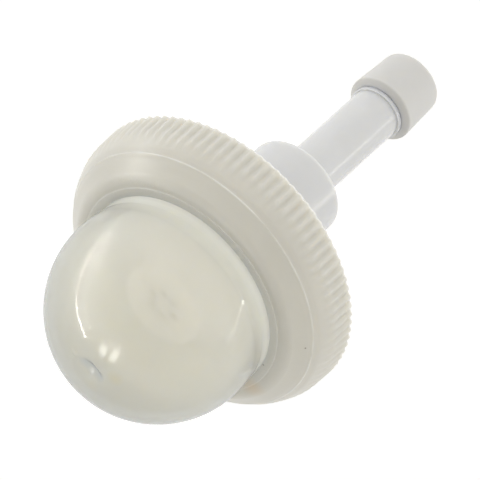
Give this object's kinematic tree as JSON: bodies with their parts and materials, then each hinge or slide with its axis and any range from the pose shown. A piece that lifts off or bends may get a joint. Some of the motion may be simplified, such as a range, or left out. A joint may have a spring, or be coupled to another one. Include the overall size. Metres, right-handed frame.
{
  "type": "hand primer pump",
  "caption": "Hand primer pump: a squeeze bulb held on a moulded body by a toothed ring nut, with a hub, a stem and a tapered tip seal that reach into a filter head.",
  "frame": {"origin": "centre of the collar's rear face, on the axis of the hub", "axes": "+Z along the pump's axis towards the bulb; -Z along the hub and stem into the filter head; X and Y alike"},
  "size_m": [0.046, 0.046, 0.078],
  "materials": {
    "collar_plastic": "moulded, satin",
    "bulb_plastic": "glossy, milky and translucent",
    "body_plastic": "moulded, semi-gloss",
    "inner_plastic": "moulded",
    "seal_rubber": "matt",
    "dark_rubber": "matt",
    "spring_steel": "drawn wire",
    "ball_steel": "ground"
  },
  "bodies": {
    "pump": {"pump_body": "body_plastic", "valve_cage": "inner_plastic", "inlet_spring": "spring_steel", "slip_washer": "inner_plastic", "outlet_flap": "dark_rubber", "flap_retainer": "inner_plastic", "head_gasket": "dark_rubber", "tip_seal": "seal_rubber"},
    "ring_nut": {"collar": "collar_plastic"},
    "squeeze_bulb": {"bulb": "bulb_plastic"},
    "valve_ball": {"inlet_ball": "ball_steel"}
  },
  "joints": [
    {"name": "collar_spin", "type": "hinge", "parent": "pump", "child": "ring_nut", "pos_m": [0, 0, 0], "axis": [0, 0, 1], "continuous": true},
    {"name": "bulb_press", "type": "slide", "parent": "pump", "child": "squeeze_bulb", "axis": [0, 0, -1], "range_m": [0, 0.011], "stiffness_N_per_m": 1200, "springref_m": -0.0005, "deforming": ["bulb"]},
    {"name": "inlet_lift", "type": "slide", "parent": "pump", "child": "valve_ball", "axis": [0, 0, 1], "range_m": [0, 0.0015], "stiffness_N_per_m": 40, "springref_m": -0.002, "deforming": ["inlet_spring"]}
  ]
}
